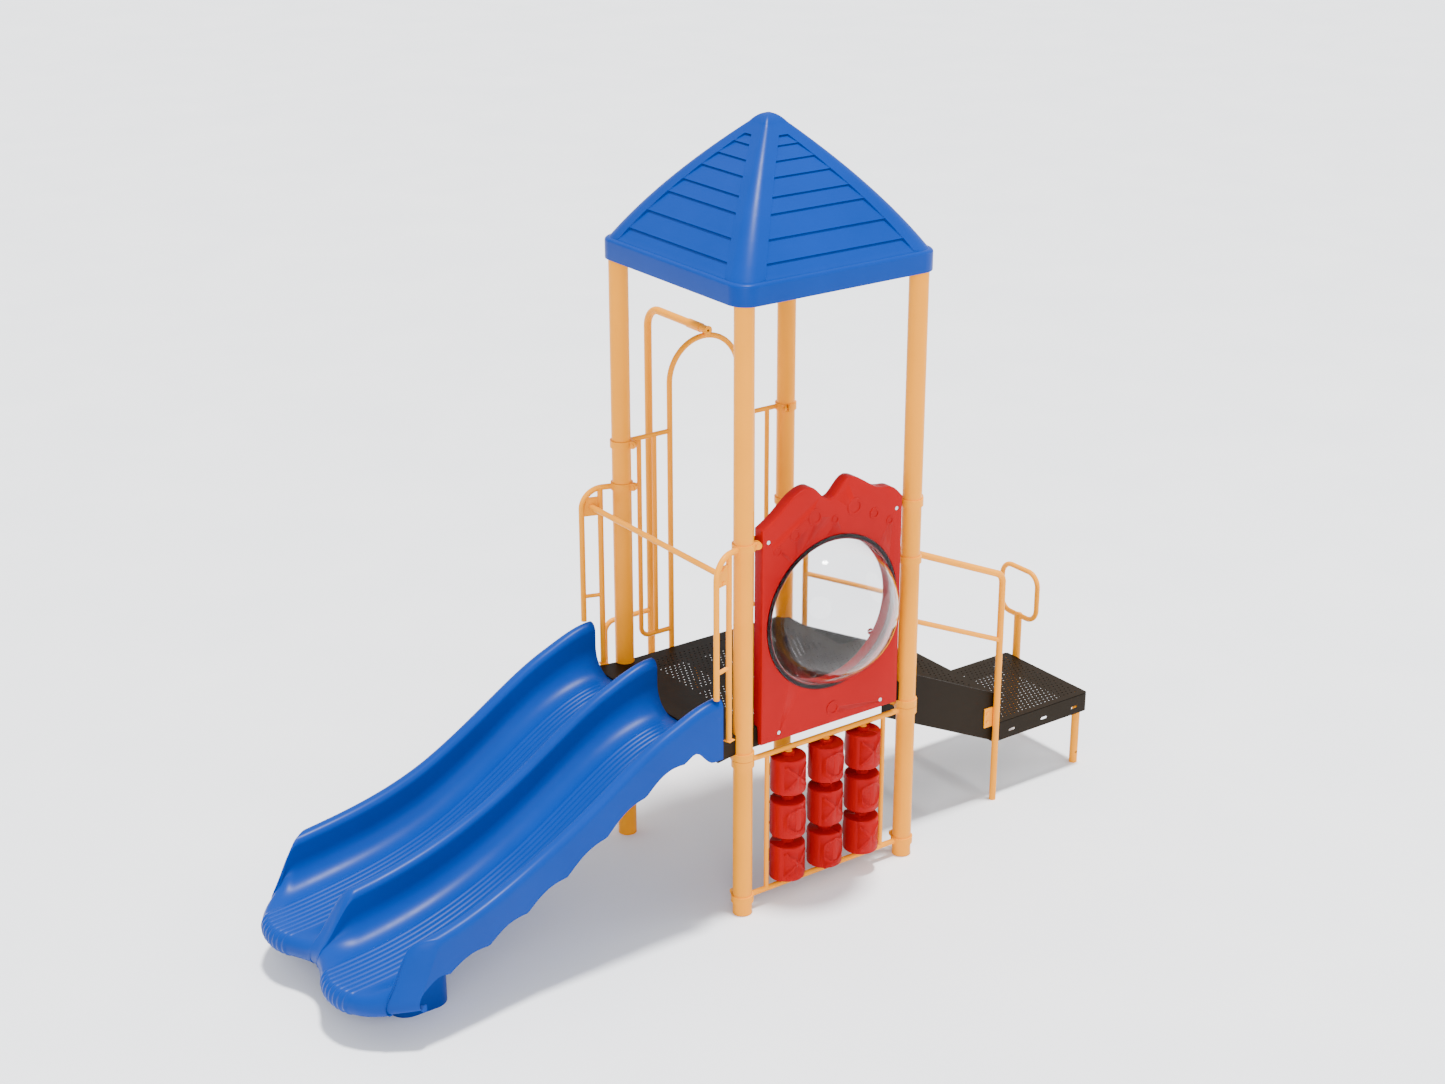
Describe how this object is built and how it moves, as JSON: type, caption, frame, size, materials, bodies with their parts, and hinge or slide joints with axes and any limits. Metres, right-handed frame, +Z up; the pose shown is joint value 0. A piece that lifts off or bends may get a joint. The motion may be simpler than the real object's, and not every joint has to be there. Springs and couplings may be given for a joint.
{
  "type": "playground play structure",
  "caption": "Playground play structure with roofed tower, double slide, bubble panel, tic-tac-toe panel, transfer stair and arch climber.",
  "frame": {"origin": "centre of the underside of the front left post's foot", "axes": "+X towards the stair and low platform, -X towards the slide's exit, -Y out of the bubble panel, +Z up"},
  "size_m": [4.3469, 1.7328, 3.543],
  "materials": {
    "yellow_steel": "gloss powder coat",
    "brown_steel": "soft plastic coating on punched steel",
    "blue_plastic": "satin moulded",
    "red_plastic": "satin moulded",
    "clear_plastic": "clear",
    "zinc": "plated"
  },
  "bodies": {
    "structure": {"post_front_left": "yellow_steel", "post_front_right": "yellow_steel", "post_back_left": "yellow_steel", "post_back_right": "yellow_steel", "post_caps": "yellow_steel", "deck_collars": "yellow_steel", "guard_clamps": "yellow_steel", "panel_clamp": "yellow_steel", "handrail_clamps": "yellow_steel", "climber_clamps": "yellow_steel", "tictactoe_clamps": "yellow_steel", "clamp_bolts": "zinc", "deck": "brown_steel", "deck_stiffeners": "brown_steel", "slide_entry_plate": "brown_steel", "deck_bolts": "zinc", "stair_side_near": "brown_steel", "stair_side_far": "brown_steel", "tread_upper": "brown_steel", "tread_lower": "brown_steel", "low_platform": "brown_steel", "platform_leg_near": "yellow_steel", "platform_leg_far": "yellow_steel", "handhold": "yellow_steel", "handrail_near": "yellow_steel", "handrail_far": "yellow_steel", "handrail_uprights": "yellow_steel", "handrail_plates": "yellow_steel", "stair_bolts": "zinc", "roof": "blue_plastic", "roof_brackets": "yellow_steel", "bubble_panel": "red_plastic", "panel_bolts": "zinc", "panel_arms": "yellow_steel", "bubble_dome": "clear_plastic", "tictactoe_frame": "yellow_steel", "tictactoe_rods": "yellow_steel", "slide_shell": "blue_plastic", "slide_feet": "blue_plastic", "slide_guard_near": "yellow_steel", "slide_guard_far": "yellow_steel", "sit_bar": "yellow_steel", "guard_bolts": "zinc", "climber_arch": "yellow_steel", "climber_guard_left": "yellow_steel", "climber_guard_right": "yellow_steel", "climber_pole": "yellow_steel", "climber_snake": "yellow_steel", "climber_bolts": "zinc"},
    "turning_a1": {"cylinder_a1": "red_plastic"},
    "turning_a2": {"cylinder_a2": "red_plastic"},
    "turning_a3": {"cylinder_a3": "red_plastic"},
    "turning_b1": {"cylinder_b1": "red_plastic"},
    "turning_b2": {"cylinder_b2": "red_plastic"},
    "turning_b3": {"cylinder_b3": "red_plastic"},
    "turning_c1": {"cylinder_c1": "red_plastic"},
    "turning_c2": {"cylinder_c2": "red_plastic"},
    "turning_c3": {"cylinder_c3": "red_plastic"}
  },
  "joints": [
    {"name": "hinge_a1", "type": "hinge", "parent": "structure", "child": "turning_a1", "pos_m": [0.25515, 0, 0.64327], "axis": [0, 0, 1], "continuous": true},
    {"name": "hinge_a2", "type": "hinge", "parent": "structure", "child": "turning_a2", "pos_m": [0.25515, 0, 0.4225], "axis": [0, 0, 1], "continuous": true},
    {"name": "hinge_a3", "type": "hinge", "parent": "structure", "child": "turning_a3", "pos_m": [0.25515, 0, 0.20173], "axis": [0, 0, 1], "continuous": true},
    {"name": "hinge_b1", "type": "hinge", "parent": "structure", "child": "turning_b1", "pos_m": [0.4725, 0, 0.64327], "axis": [0, 0, 1], "continuous": true},
    {"name": "hinge_b2", "type": "hinge", "parent": "structure", "child": "turning_b2", "pos_m": [0.4725, 0, 0.4225], "axis": [0, 0, 1], "continuous": true},
    {"name": "hinge_b3", "type": "hinge", "parent": "structure", "child": "turning_b3", "pos_m": [0.4725, 0, 0.20173], "axis": [0, 0, 1], "continuous": true},
    {"name": "hinge_c1", "type": "hinge", "parent": "structure", "child": "turning_c1", "pos_m": [0.68985, 0, 0.64327], "axis": [0, 0, 1], "continuous": true},
    {"name": "hinge_c2", "type": "hinge", "parent": "structure", "child": "turning_c2", "pos_m": [0.68985, 0, 0.4225], "axis": [0, 0, 1], "continuous": true},
    {"name": "hinge_c3", "type": "hinge", "parent": "structure", "child": "turning_c3", "pos_m": [0.68985, 0, 0.20173], "axis": [0, 0, 1], "continuous": true}
  ]
}
